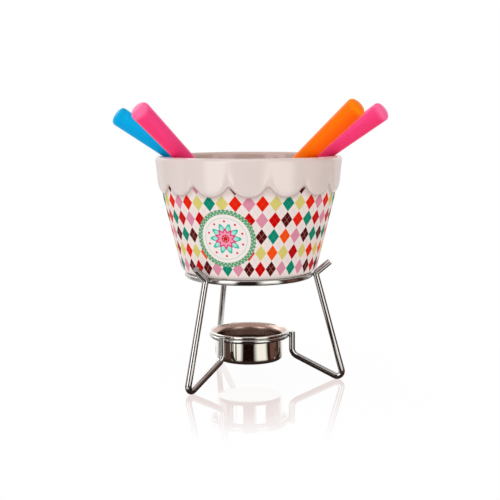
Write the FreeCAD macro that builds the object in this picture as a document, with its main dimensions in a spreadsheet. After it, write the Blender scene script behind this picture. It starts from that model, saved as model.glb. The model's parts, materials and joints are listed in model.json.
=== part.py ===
import FreeCAD, Part

import math
import os

import Sketcher
from FreeCAD import Placement, Rotation, Vector

# Fondue pot set: a glazed pot with a scalloped collar on a bent-wire stand, a stamped
# burner cup with a tea light in it, and four forks that lean on the rim.
# Millimetres, +Z up. The origin is on the table, on the axis of the pot and the stand.

doc = FreeCAD.newDocument("FonduePotSet")

# ---------------------------------------------------------------- driving sizes
SIZES = [
    # wire stand
    ("ring_wire", 4.2, "pot ring wire diameter"),
    ("ring_radius", 42.4, "pot ring centre line"),
    ("ring_height", 73.2, "pot ring centre line above the table"),
    ("leg_wire", 4.4, "leg wire diameter"),
    ("leg_count", 3, "legs"),
    ("leg_first_angle", 231.6, "direction of the first leg, degrees from +X"),
    ("foot_radius", 61.2, "where a foot touches the table, from the axis"),
    ("foot_bend", 3.4, "foot bend, centre line radius"),
    ("top_bend", 2.5, "bend beside the pot ring, centre line radius"),
    ("prong_slope", 40.5, "prong above the ring, degrees from level"),
    ("prong_length", 11.3, "straight part of the prong"),
    ("hook_radius", 29.9, "upright hook, from the axis"),
    ("hook_bend", 6.0, "hook bend, centre line radius"),
    ("hook_bend_height", 21.1, "centre of the hook bend above the table"),
    ("hook_top", 32.7, "top of the hook above the table"),
    ("weld_bite", 0.15, "how far welded wires sink into each other"),
    ("burner_wire", 3.0, "burner ring wire diameter"),
    ("burner_ring_height", 30.1, "burner ring centre line above the table"),
    # pot
    ("seat_gap", 0.2, "gap between pieces that rest on each other"),
    ("pot_height", 79.5, "pot, foot to lip"),
    ("base_radius", 46.2, "wall radius at the foot, before rounding"),
    ("shoulder_height", 52.5, "foot to the shoulder where the wall steepens"),
    ("shoulder_radius", 59.1, "wall radius at the shoulder"),
    ("rim_radius", 64.2, "collar radius at the lip"),
    ("wall", 4.5, "pot wall"),
    ("floor_thickness", 5.0, "pot floor"),
    ("recess_radius", 36.0, "hollow under the foot, radius"),
    ("recess_depth", 1.2, "hollow under the foot, depth"),
    ("foot_round", 5.2, "rounding of the foot edge"),
    ("floor_round", 6.0, "rounding inside the pot floor"),
    ("lip_round", 2.8, "rounding of the lip"),
    ("lip_flat", 0.2, "least flat left between the two roundings of the lip"),
    ("collar_relief", 1.5, "how far the scalloped collar stands out"),
    ("scallop_count", 15, "scallops round the collar"),
    ("scallop_lap", 0.165, "how far a scallop laps over the middle to its neighbour"),
    ("collar_depth", 24.5, "lip to the lowest points of the scallops"),
    ("scallop_first_angle", 270.0, "direction of the first scallop, degrees from +X"),
    # burner cup
    ("cup_radius", 23.4, "cup body, outside"),
    ("cup_depth", 17.0, "cup bottom to the neck under the flare"),
    ("cup_sheet", 0.8, "cup sheet thickness"),
    ("cup_round", 2.6, "cup bottom corner, outside"),
    ("flare_angle", 33.0, "flare above the neck, degrees from level"),
    ("flare_run", 3.2, "flare, measured outward"),
    ("bead_radius", 0.8, "rolled edge of the flare"),
    # tea light
    ("light_radius", 18.8, "tea light case, outside"),
    ("light_height", 10.0, "tea light case, height"),
    ("light_sheet", 0.4, "tea light case, foil thickness"),
    ("wax_drop", 1.2, "edge of the case above the wax"),
    ("sustainer_radius", 6.0, "wick plate radius"),
    ("sustainer_sheet", 0.4, "wick plate thickness"),
    ("sustainer_neck", 2.6, "wick plate neck height"),
    ("wick_radius", 0.8, "wick radius"),
    ("wick_show", 4.0, "wick above the wax"),
    # forks
    ("fork_length", 157.6, "tine points to the edge of the handle's domed end"),
    ("handle_length", 77.6, "handle without its dome"),
    ("handle_end_radius", 6.6, "handle radius at its thick end"),
    ("handle_neck_radius", 4.7, "handle radius at the stem"),
    ("handle_dome", 4.0, "height of the domed end"),
    ("handle_edge_round", 1.0, "rounding of the dome's edge and the neck"),
    ("bore_depth", 30.0, "how far the stem goes into the handle"),
    ("bore_clearance", 0.05, "stem to bore, radial"),
    ("stem_radius", 1.3, "fork stem radius"),
    ("tine_span", 9.0, "across both tines"),
    ("tine_width", 1.9, "width of one tine"),
    ("tine_length", 28.0, "tine points to the crotch"),
    ("tine_point", 6.0, "length of the sharpened part"),
    ("tine_thickness", 1.6, "thickness of the fork head"),
    ("head_shoulder", 6.0, "crotch to the stem"),
    ("head_round", 1.2, "rounding at the crotch"),
    ("lean_gap", 0.3, "gap between a leaning fork and what it touches"),
    # where each fork leans: its place on the lip, the place of its points on the far side,
    # how high they are above the floor, and how far they are from the wall
    ("blue_lip_angle", 185.1, "blue fork on the lip, degrees from +X"),
    ("blue_tip_angle", 24.6, "blue fork's points, degrees from +X"),
    ("blue_tip_rise", 10.5, "blue fork's points above the floor"),
    ("blue_tip_inset", 0.0, "blue fork's points from the wall"),
    ("pink_left_lip_angle", 212.9, "left pink fork on the lip, degrees from +X"),
    ("pink_left_tip_angle", 57.2, "left pink fork's points, degrees from +X"),
    ("pink_left_tip_rise", 1.2, "left pink fork's points above the floor"),
    ("pink_left_tip_inset", 5.0, "left pink fork's points from the wall"),
    ("orange_lip_angle", 317.0, "orange fork on the lip, degrees from +X"),
    ("orange_tip_angle", 172.2, "orange fork's points, degrees from +X"),
    ("orange_tip_rise", 1.2, "orange fork's points above the floor"),
    ("orange_tip_inset", 5.0, "orange fork's points from the wall"),
    ("pink_right_lip_angle", 351.6, "right pink fork on the lip, degrees from +X"),
    ("pink_right_tip_angle", 134.7, "right pink fork's points, degrees from +X"),
    ("pink_right_tip_rise", 13.1, "right pink fork's points above the floor"),
    ("pink_right_tip_inset", 0.0, "right pink fork's points from the wall"),
]
FORKS = ["blue", "pink_left", "orange", "pink_right"]
LEG_NAMES = ["front_left", "right", "back"]
SETTLE_ROUNDS = 20  # rounds in which a leaning fork finds its place between the lip and the wall


def make_sheet():
    sheet = doc.addObject("Spreadsheet::Sheet", "sizes")
    for row, (alias, value, note) in enumerate(SIZES, 1):
        sheet.set(f"A{row}", note)
        sheet.set(f"B{row}", str(value))
        sheet.setAlias(f"B{row}", alias)
    doc.recompute()
    return sheet


sizes = make_sheet()


def value(expression):
    """The number that an expression over the sheet gives."""
    result = sizes.evalExpression(expression)
    return float(getattr(result, "Value", result))


# ------------------------------------------------- places worked out from the sizes
pot_base = "(sizes.ring_height + sizes.ring_wire / 2 + sizes.seat_gap)"
pot_floor = f"({pot_base} + sizes.floor_thickness)"
shoulder = f"({pot_base} + sizes.shoulder_height)"
lip = f"({pot_base} + sizes.pot_height)"
wall_slope = "((sizes.shoulder_radius - sizes.base_radius) / sizes.shoulder_height)"
floor_radius = f"(sizes.base_radius + {wall_slope} * sizes.floor_thickness - sizes.wall)"
scallop_radius = "(sizes.rim_radius * sin(180deg / sizes.scallop_count) + sizes.scallop_lap)"
collar_low = f"({lip} - sizes.collar_depth)"
collar_line = f"({collar_low} + {scallop_radius})"
collar_slope = (
    "((sizes.rim_radius - sizes.collar_relief - sizes.shoulder_radius)"
    " / (sizes.pot_height - sizes.shoulder_height))"
)

lip_edge = (
    "min(sizes.lip_round; (sizes.wall + sizes.collar_relief - sizes.lip_flat)"
    f" / (2 * sqrt(1 + {collar_slope} ^ 2)))"
)


def wall_behind_collar(height):
    """Radius of the wall that the collar stands out from, at a height."""
    return f"(sizes.shoulder_radius + {collar_slope} * ({height} - {shoulder}))"


leg_inner = "(sizes.ring_radius + sizes.ring_wire / 2 + sizes.leg_wire / 2 - sizes.weld_bite)"
burner_ring_radius = "(sizes.hook_radius - sizes.leg_wire / 2 - sizes.burner_wire / 2 + sizes.weld_bite)"
cup_neck = (
    "(sizes.burner_ring_height + ((sizes.burner_wire / 2 + sizes.seat_gap)"
    f" - ({burner_ring_radius} - sizes.cup_radius) * sin(sizes.flare_angle * 1deg))"
    " / cos(sizes.flare_angle * 1deg))"
)
cup_bottom = f"({cup_neck} - sizes.cup_depth)"
flare_rise = "(sizes.flare_run * tan(sizes.flare_angle * 1deg))"
flare_back = "(sizes.cup_sheet * sin(sizes.flare_angle * 1deg))"
flare_lift = "(sizes.cup_sheet * cos(sizes.flare_angle * 1deg))"
neck_lift = "(sizes.cup_sheet * (1 - sin(sizes.flare_angle * 1deg)) / cos(sizes.flare_angle * 1deg))"
light_bottom = f"({cup_bottom} + sizes.cup_sheet + sizes.seat_gap)"
light_floor = f"({light_bottom} + sizes.light_sheet)"
wax_top = f"({light_bottom} + sizes.light_height - sizes.wax_drop)"
wax_radius = "(sizes.light_radius - sizes.light_sheet)"
plate_top = f"({light_floor} + sizes.sustainer_sheet)"
neck_top = f"({light_floor} + sizes.sustainer_neck)"
neck_radius = "(sizes.wick_radius + sizes.sustainer_sheet)"
handle_neck = "(sizes.fork_length - sizes.handle_length)"
bore_radius = "(sizes.stem_radius + sizes.bore_clearance)"
bore_end = f"({handle_neck} + sizes.bore_depth)"
head_top = "(sizes.tine_length + sizes.head_shoulder)"


# --------------------------------------------------------------------- helpers
def new_body(name):
    return doc.addObject("PartDesign::Body", name)


def new_sketch(body, name, role):
    """A sketch on one of the body's own origin planes."""
    plane = next(f for f in body.Origin.OriginFeatures if f.Role == role)
    sketch = body.newObject("Sketcher::SketchObject", name)
    sketch.AttachmentSupport = [(plane, "")]
    sketch.MapMode = "FlatFace"
    return sketch


def bind(sketch, constraint, name, expression):
    index = sketch.addConstraint(constraint)
    sketch.renameConstraint(index, name)
    sketch.setExpression(f"Constraints.{name}", expression)


def pin(sketch, geometry, point, name, x, y):
    """Hold a point of the sketch at two expressions, either side of the origin."""
    for axis, kind, line, expression in (("x", "DistanceX", -2, x), ("y", "DistanceY", -1, y)):
        number = value(expression)
        if expression == "0":
            sketch.addConstraint(Sketcher.Constraint("PointOnObject", geometry, point, line))
        elif number > 0:
            item = Sketcher.Constraint(kind, -1, 1, geometry, point, number)
            bind(sketch, item, name + axis, expression)
        else:
            item = Sketcher.Constraint(kind, geometry, point, -1, 1, -number)
            bind(sketch, item, name + axis, f"-({expression})")


def outline(body, name, role, corners, arcs=None, closed=True):
    """Straight sides and arcs through corners given as expressions. arcs gives, by the number
    of the side, an arc's centre and radius; each arc is less than half a circle."""
    arcs = arcs or {}
    sketch = new_sketch(body, name, role)
    points = [Vector(value(x), value(z), 0) for x, z in corners]
    count = len(points)
    sides = []
    for number in range(count if closed else count - 1):
        start, end = points[number], points[(number + 1) % count]
        if number in arcs:
            x, z, radius = (value(item) for item in arcs[number])
            centre = Vector(x, z, 0)
            middle = centre + (start + end - centre * 2).normalize() * radius
            clockwise = (start - centre).cross(end - centre).z < 0
            ends = (end, start) if clockwise else (start, end)
            side = sketch.addGeometry(Part.ArcOfCircle(ends[0], middle, ends[1]), False)
            bind(sketch, Sketcher.Constraint("Radius", side, radius), f"radius{number}", arcs[number][2])
        else:
            side = sketch.addGeometry(Part.LineSegment(start, end), False)
        forward = sketch.Geometry[side].StartPoint.distanceToPoint(start) < 1e-6
        sides.append((side, 1, 2) if forward else (side, 2, 1))
    for number, (x, z) in enumerate(corners):
        side, first, last = sides[min(number, len(sides) - 1)]
        pin(sketch, side, first if number < len(sides) else last, f"corner{number}", x, z)
    for number in range(len(sides) if closed else len(sides) - 1):
        (side, _, last), (following, first, _) = sides[number], sides[(number + 1) % len(sides)]
        sketch.addConstraint(Sketcher.Constraint("Coincident", side, last, following, first))
    return sketch


def revolve(body, sketch, name):
    feature = body.newObject("PartDesign::Revolution", name)
    feature.Profile = sketch
    feature.ReferenceAxis = (sketch, ["V_Axis"])
    feature.Angle = 360
    doc.recompute()
    return feature


def fillet(body, base, name, edges, size):
    """Round edges of the last feature by a size from the sheet."""
    feature = body.newObject("PartDesign::Fillet", name)
    feature.Base = (base, edges)
    feature.setExpression("Radius", size)
    doc.recompute()
    return feature


def ring_edges(feature, places):
    """Names of the circular edges about the axis at the given (radius, height) expressions."""
    wanted = [(value(r), value(z)) for r, z in places]
    names = []
    for i, edge in enumerate(feature.Shape.Edges, 1):
        if edge.Degenerated or edge.Curve.TypeId != "Part::GeomCircle":
            continue
        size, height = edge.Curve.Radius, edge.Curve.Center.z
        if any(abs(size - r) < 1e-4 and abs(height - z) < 1e-4 for r, z in wanted):
            names.append(f"Edge{i}")
    return names


def cross_edges(feature, places):
    """Names of the straight edges that run along Y at the given (x, z) expressions."""
    wanted = [(value(x), value(z)) for x, z in places]
    names = []
    for i, edge in enumerate(feature.Shape.Edges, 1):
        box = edge.BoundBox
        if box.YLength < 0.1 or box.XLength > 1e-3 or box.ZLength > 1e-3:
            continue
        if any(abs(box.Center.x - x) < 1e-3 and abs(box.Center.z - z) < 1e-3 for x, z in wanted):
            names.append(f"Edge{i}")
    return names


def wire_ring(name, radius, wire, height):
    ring = doc.addObject("Part::Torus", name)
    ring.setExpression("Radius1", radius)
    ring.setExpression("Radius2", f"{wire} / 2")
    ring.setExpression("Placement.Base.z", height)
    return ring


def rod(name, radius, bottom, height):
    cylinder = doc.addObject("Part::Cylinder", name)
    cylinder.setExpression("Radius", radius)
    cylinder.setExpression("Height", height)
    cylinder.setExpression("Placement.Base.z", bottom)
    return cylinder


def combine(kind, name, parts):
    """A Part::MultiFuse or Part::MultiCommon of several objects."""
    result = doc.addObject(kind, name)
    result.Shapes = parts
    return result


# ----------------------------------------------------------------------- stand
def touching_angle(circle_a, circle_b, turn, sides="-"):
    """Direction, from the centre of circle a, of the point where a line touches it and circle b.
    A circle is its centre and radius. With sides "+", the line passes between the circles."""
    (x_a, z_a, radius_a), (x_b, z_b, radius_b) = circle_a, circle_b
    across, up = f"({x_b} - {x_a})", f"({z_b} - {z_a})"
    share = f"({radius_a} {sides} {radius_b}) / sqrt({across} ^ 2 + {up} ^ 2)"
    return f"(atan2({up}; {across}) {turn} acos({share}))"


def on_circle(circle, angle):
    x, z, radius = circle
    return f"({x} + {radius} * cos({angle}))", f"({z} + {radius} * sin({angle}))"


def leg_path(body):
    """Centre line of a leg in an upright plane: hook, lower wire, foot, leg and prong."""
    hook = ("(sizes.hook_radius + sizes.hook_bend)", "sizes.hook_bend_height", "sizes.hook_bend")
    foot = ("sizes.foot_radius", "(sizes.leg_wire / 2 + sizes.foot_bend)", "sizes.foot_bend")
    top = (f"({leg_inner} + sizes.top_bend)", "sizes.ring_height", "sizes.top_bend")
    lower_wire = touching_angle(foot, hook, "+")
    leg = touching_angle(top, foot, "-", sides="+")
    slope = "(sizes.prong_slope * 1deg)"
    prong_x, prong_z = on_circle(top, f"(90deg + {slope})")
    prong_end = (
        f"({prong_x} + sizes.prong_length * cos({slope}))",
        f"({prong_z} + sizes.prong_length * sin({slope}))",
    )
    corners = [
        ("sizes.hook_radius", "sizes.hook_top"),
        ("sizes.hook_radius", "sizes.hook_bend_height"),
        on_circle(hook, lower_wire),
        on_circle(foot, lower_wire),
        on_circle(foot, f"({leg} + 180deg)"),
        on_circle(top, leg),
        (prong_x, prong_z),
        prong_end,
    ]
    return outline(body, "path", "XZ_Plane", corners, arcs={1: hook, 3: foot, 5: top}, closed=False)


def make_leg(name, number):
    body = new_body(f"leg_{name}")
    path = leg_path(body)
    section = new_sketch(body, "section", "XY_Plane")
    section.setExpression("AttachmentOffset.Base.z", "sizes.hook_top")
    wire = value("sizes.leg_wire")
    round_wire = Part.Circle(Vector(value("sizes.hook_radius"), 0, 0), Vector(0, 0, 1), wire / 2)
    circle = section.addGeometry(round_wire)
    item = Sketcher.Constraint("Diameter", circle, wire)
    bind(section, item, "wire", "sizes.leg_wire")
    pin(section, circle, 3, "centre_", "sizes.hook_radius", "0")
    doc.recompute()
    pipe = body.newObject("PartDesign::AdditivePipe", "wire")
    pipe.Profile = section
    pipe.Spine = path
    body.Placement = Placement(Vector(), Rotation(Vector(0, 0, 1), 1))  # the axis for the bound angle
    turn = f"(sizes.leg_first_angle + {number} * 360 / sizes.leg_count) * 1deg"
    body.setExpression("Placement.Rotation.Angle", turn)
    return body


# ------------------------------------------------------------------------- pot
def make_pot():
    """The pot is turned, and the scallops under its collar are cut from a ring by round rods."""
    body = new_body("pot_turned")
    inner = "sizes.rim_radius - sizes.collar_relief - sizes.wall"
    recess = f"({pot_base} + sizes.recess_depth)"
    line_wall = wall_behind_collar(collar_line)
    profile = outline(body, "profile", "XZ_Plane", [
        ("0", recess),
        ("sizes.recess_radius", recess),
        ("sizes.recess_radius", pot_base),
        ("sizes.base_radius", pot_base),
        ("sizes.shoulder_radius", shoulder),
        (line_wall, collar_line),
        (f"{line_wall} + sizes.collar_relief", collar_line),
        ("sizes.rim_radius", lip),
        (inner, lip),
        ("sizes.shoulder_radius - sizes.wall", shoulder),
        (floor_radius, pot_floor),
        ("0", pot_floor),
    ])
    turned = revolve(body, profile, "turned")
    lips = ring_edges(turned, [("sizes.rim_radius", lip), (inner, lip)])
    rounded = fillet(body, turned, "lip", lips, lip_edge)
    foot = ring_edges(rounded, [("sizes.base_radius", pot_base)])
    rounded = fillet(body, rounded, "foot", foot, "sizes.foot_round")
    fillet(body, rounded, "inside", ring_edges(rounded, [(floor_radius, pot_floor)]), "sizes.floor_round")

    low_wall = wall_behind_collar(collar_low)
    root = "sizes.wall / 4"
    band_body = new_body("collar_ring")
    band = outline(band_body, "profile", "XZ_Plane", [
        (f"{low_wall} - {root}", collar_low),
        (f"{low_wall} + sizes.collar_relief", collar_low),
        (f"{line_wall} + sizes.collar_relief", collar_line),
        (f"{line_wall} - {root}", collar_line),
    ])
    revolve(band_body, band, "turned")
    rods = []
    count = round(value("sizes.scallop_count"))
    for number in range(count):
        scallop = rod(f"scallop_rod_{number + 1}", scallop_radius, collar_line, "sizes.rim_radius + sizes.wall")
        flat = Rotation(Vector(0, 1, 0), 90)
        angle = value("sizes.scallop_first_angle") + number * 360 / count
        scallop.Placement = Placement(scallop.Placement.Base, Rotation(Vector(0, 0, 1), angle) * flat)
        rods.append(scallop)
    fan = combine("Part::MultiFuse", "scallop_fan", rods)
    scallops = combine("Part::MultiCommon", "scallops", [band_body, fan])
    return combine("Part::MultiFuse", "pot", [body, scallops])


# ------------------------------------------------------------------ burner cup
def make_burner_cup():
    body = new_body("cup_pressed")
    top = f"({cup_neck} + {flare_rise})"
    profile = outline(body, "profile", "XZ_Plane", [
        ("0", cup_bottom),
        ("sizes.cup_radius", cup_bottom),
        ("sizes.cup_radius", cup_neck),
        ("sizes.cup_radius + sizes.flare_run", top),
        (f"sizes.cup_radius + sizes.flare_run - {flare_back}", f"{top} + {flare_lift}"),
        ("sizes.cup_radius - sizes.cup_sheet", f"{cup_neck} + {neck_lift}"),
        ("sizes.cup_radius - sizes.cup_sheet", f"{cup_bottom} + sizes.cup_sheet"),
        ("0", f"{cup_bottom} + sizes.cup_sheet"),
    ])
    pressed = revolve(body, profile, "pressed")
    outer = ring_edges(pressed, [("sizes.cup_radius", cup_bottom)])
    rounded = fillet(body, pressed, "outer_corner", outer, "sizes.cup_round")
    inside = [("sizes.cup_radius - sizes.cup_sheet", f"{cup_bottom} + sizes.cup_sheet")]
    inner = ring_edges(rounded, inside)
    fillet(body, rounded, "inner_corner", inner, "sizes.cup_round - sizes.cup_sheet")
    bead = doc.addObject("Part::Torus", "cup_bead")
    bead.setExpression("Radius1", f"sizes.cup_radius + sizes.flare_run - {flare_back} / 2")
    bead.setExpression("Radius2", "sizes.bead_radius")
    bead.setExpression("Placement.Base.z", f"{top} + {flare_lift} / 2")
    return combine("Part::MultiFuse", "burner_cup", [body, bead])


# ------------------------------------------------------------------- tea light
def make_tea_light():
    case = new_body("tealight_cup")
    profile = outline(case, "profile", "XZ_Plane", [
        ("0", light_bottom),
        ("sizes.light_radius", light_bottom),
        ("sizes.light_radius", f"{light_bottom} + sizes.light_height"),
        (wax_radius, f"{light_bottom} + sizes.light_height"),
        (wax_radius, light_floor),
        ("0", light_floor),
    ])
    revolve(case, profile, "pressed")
    plate = new_body("wick_sustainer")
    profile = outline(plate, "profile", "XZ_Plane", [
        ("sizes.wick_radius", light_floor),
        ("sizes.sustainer_radius", light_floor),
        ("sizes.sustainer_radius", plate_top),
        (neck_radius, plate_top),
        (neck_radius, neck_top),
        ("sizes.wick_radius", neck_top),
    ])
    revolve(plate, profile, "pressed")
    wick = rod("tealight_wick", "sizes.wick_radius", light_floor, f"{wax_top} + sizes.wick_show - {light_floor}")
    wax = new_body("tealight_wax")
    profile = outline(wax, "profile", "XZ_Plane", [
        ("sizes.sustainer_radius", light_floor),
        (wax_radius, light_floor),
        (wax_radius, wax_top),
        ("sizes.wick_radius", wax_top),
        ("sizes.wick_radius", neck_top),
        (neck_radius, neck_top),
        (neck_radius, plate_top),
        ("sizes.sustainer_radius", plate_top),
    ])
    revolve(wax, profile, "poured")
    return [case, plate, wick, wax]


# ----------------------------------------------------------------------- forks
def floor_wall_radius(height):
    """Inner radius of the pot at a height, below the shoulder."""
    rise = height - value(pot_base)
    return value("sizes.base_radius") + value(wall_slope) * rise - value("sizes.wall")


def fork_lean(name):
    """Where a fork lies: its point, its direction and the level way across its tines. The points
    stand on the floor or against the wall of the pot, and the handle lies on the lip."""
    lip_turn = math.radians(value(f"sizes.{name}_lip_angle"))
    tip_turn = math.radians(value(f"sizes.{name}_tip_angle"))
    gap = value("sizes.lean_gap")
    lip_round = value(lip_edge)
    lip_centre = value(
        f"sizes.rim_radius - sizes.collar_relief - sizes.wall"
        f" + {lip_edge} * (sqrt(1 + {collar_slope} ^ 2) - {collar_slope})"
    )
    bed = Vector(lip_centre * math.cos(lip_turn), lip_centre * math.sin(lip_turn), value(lip) - lip_round)
    along_lip = Vector(-math.sin(lip_turn), math.cos(lip_turn), 0)
    height = value(f"{pot_floor} + sizes.{name}_tip_rise")
    half_span = value("sizes.tine_span / 2")
    limit = floor_wall_radius(height) - gap - value(f"sizes.{name}_tip_inset")
    length = value("sizes.fork_length")
    taper = value("(sizes.handle_end_radius - sizes.handle_neck_radius) / sizes.handle_length")
    tip_radius = limit
    rest = Vector(bed)
    for _ in range(SETTLE_ROUNDS):
        tip = Vector(tip_radius * math.cos(tip_turn), tip_radius * math.sin(tip_turn), height)
        way = (rest - tip).normalize()
        across = Vector(-way.y, way.x, 0).normalize()
        outer_points = [tip + across * side * half_span for side in (-1, 1)]
        tip_radius += limit - max(math.hypot(point.x, point.y) for point in outer_points)
        off = along_lip.cross(way).normalize()
        off = off if off.z > 0 else off * -1
        from_end = length - (bed - tip).dot(way)
        handle_radius = value("sizes.handle_end_radius") - taper * from_end
        rest = bed + off * (handle_radius + lip_round + gap)
    return tip, way, across


def place_fork(pieces, name):
    tip, way, across = fork_lean(name)
    turn = Rotation(across, way.cross(across), way, "ZXY")
    for piece in pieces:
        piece.Placement = Placement(tip, turn)


def make_handle(name):
    body = new_body(f"fork_{name}_handle")
    ball = "((sizes.handle_end_radius ^ 2 + sizes.handle_dome ^ 2) / (2 * sizes.handle_dome))"
    dome = ("0", f"(sizes.fork_length + sizes.handle_dome - {ball})", ball)
    profile = outline(body, "profile", "XZ_Plane", [
        (bore_radius, handle_neck),
        ("sizes.handle_neck_radius", handle_neck),
        ("sizes.handle_end_radius", "sizes.fork_length"),
        ("0", "(sizes.fork_length + sizes.handle_dome)"),
        ("0", bore_end),
        (bore_radius, bore_end),
    ], arcs={2: dome})
    moulded = revolve(body, profile, "moulded")
    ends = [("sizes.handle_end_radius", "sizes.fork_length"), ("sizes.handle_neck_radius", handle_neck)]
    fillet(body, moulded, "edges", ring_edges(moulded, ends), "sizes.handle_edge_round")
    return body


def make_fork_head(name):
    """The steel of a fork: two flat tines, their shoulder and the round stem."""
    body = new_body(f"fork_{name}_tines")
    outer, inner = "sizes.tine_span / 2", "(sizes.tine_span / 2 - sizes.tine_width)"
    point = "(sizes.tine_span / 2 - sizes.tine_width / 2)"
    right = [
        (point, "0"),
        (outer, "sizes.tine_point"),
        (outer, "sizes.tine_length"),
        ("sizes.stem_radius", head_top),
    ]
    crotch = [(inner, "sizes.tine_length"), (inner, "sizes.tine_point")]
    left = [(f"-({x})", z) for x, z in reversed(right)]
    corners = right + left + [(f"-{x}", z) for x, z in reversed(crotch)] + crotch
    profile = outline(body, "head_outline", "XZ_Plane", corners)
    head = body.newObject("PartDesign::Pad", "head")
    head.Profile = profile
    head.setExpression("Length", "sizes.tine_thickness")
    head.Midplane = True
    doc.recompute()
    bends = [(f"-{inner}", "sizes.tine_length"), (inner, "sizes.tine_length"),
             (f"-{outer}", "sizes.tine_length"), (outer, "sizes.tine_length")]
    fillet(body, head, "crotch", cross_edges(head, bends), "sizes.head_round")
    stem = outline(body, "stem_outline", "XZ_Plane", [
        ("0", f"{head_top} - sizes.head_shoulder / 2"),
        ("sizes.stem_radius", f"{head_top} - sizes.head_shoulder / 2"),
        ("sizes.stem_radius", f"{bore_end} - sizes.seat_gap"),
        ("0", f"{bore_end} - sizes.seat_gap"),
    ])
    revolve(body, stem, "stem")
    return body


# ---------------------------------------------------------------------- build
def build():
    pieces = [
        wire_ring("pot_ring", "sizes.ring_radius", "sizes.ring_wire", "sizes.ring_height"),
        wire_ring("burner_ring", burner_ring_radius, "sizes.burner_wire", "sizes.burner_ring_height"),
    ]
    pieces += [make_leg(name, number) for number, name in enumerate(LEG_NAMES)]
    pieces.append(make_pot())
    pieces.append(make_burner_cup())
    pieces += make_tea_light()
    for name in FORKS:
        fork = [make_handle(name), make_fork_head(name)]
        place_fork(fork, name)
        pieces += fork
    doc.recompute()
    return pieces


def check(pieces):
    bad = [o.Label for o in doc.Objects if "Invalid" in o.State or "Error" in o.State]
    bad += [p.Label for p in pieces if p.Shape.isNull() or not p.Shape.isValid()]
    if bad:
        raise RuntimeError(f"not sound: {sorted(set(bad))}")


def export(pieces):
    os.makedirs("parts", exist_ok=True)
    for piece in pieces:
        piece.Shape.exportStep(f"parts/{piece.Label}.step")
        box = piece.Shape.BoundBox
        print(f"{piece.Label:26s} solids {len(piece.Shape.Solids)} volume {piece.Shape.Volume:10.1f}"
              f"  z {box.ZMin:7.2f} to {box.ZMax:7.2f}")


pieces = build()
check(pieces)
export(pieces)
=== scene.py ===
import json
import math

import bpy
from mathutils import Matrix, Vector


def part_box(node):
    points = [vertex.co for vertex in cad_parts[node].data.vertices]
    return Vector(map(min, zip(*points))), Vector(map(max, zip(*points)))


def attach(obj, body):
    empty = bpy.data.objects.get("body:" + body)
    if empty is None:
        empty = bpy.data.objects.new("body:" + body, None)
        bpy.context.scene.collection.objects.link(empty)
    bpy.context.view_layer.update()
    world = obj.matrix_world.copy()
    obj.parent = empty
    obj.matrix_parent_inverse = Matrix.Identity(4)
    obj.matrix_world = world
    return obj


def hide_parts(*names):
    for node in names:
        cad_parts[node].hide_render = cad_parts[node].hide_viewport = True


# A small fondue pot on a wire stand, with its burner cup, tea light and four forks.
# Lengths in this script are millimetres until they go into a mesh, and angles are degrees.
# Azimuth is measured from +X towards +Y; the camera looks along +Y.

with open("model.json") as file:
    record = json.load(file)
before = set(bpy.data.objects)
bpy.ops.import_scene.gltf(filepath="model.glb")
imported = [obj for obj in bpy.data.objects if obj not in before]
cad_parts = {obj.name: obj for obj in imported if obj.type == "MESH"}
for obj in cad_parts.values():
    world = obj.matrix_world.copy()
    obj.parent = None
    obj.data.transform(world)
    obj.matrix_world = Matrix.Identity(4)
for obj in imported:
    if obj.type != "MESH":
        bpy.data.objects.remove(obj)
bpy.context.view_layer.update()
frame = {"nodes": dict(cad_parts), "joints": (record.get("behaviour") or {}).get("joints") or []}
MM = 0.001


def corners(node):
    """Lowest and highest corner of a CAD node, in millimetres."""
    low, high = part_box(node)
    return low / MM, high / MM


# ------------------------------------------------------------------- node trees
def srgb(red, green, blue):
    """A colour given as it looks on screen, 0 to 255, as linear RGBA."""
    def linear(level):
        level /= 255
        return level / 12.92 if level <= 0.04045 else ((level + 0.055) / 1.055) ** 2.4
    return (linear(red), linear(green), linear(blue), 1.0)


def new_material(name):
    return bpy.data.materials.new(name)


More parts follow.
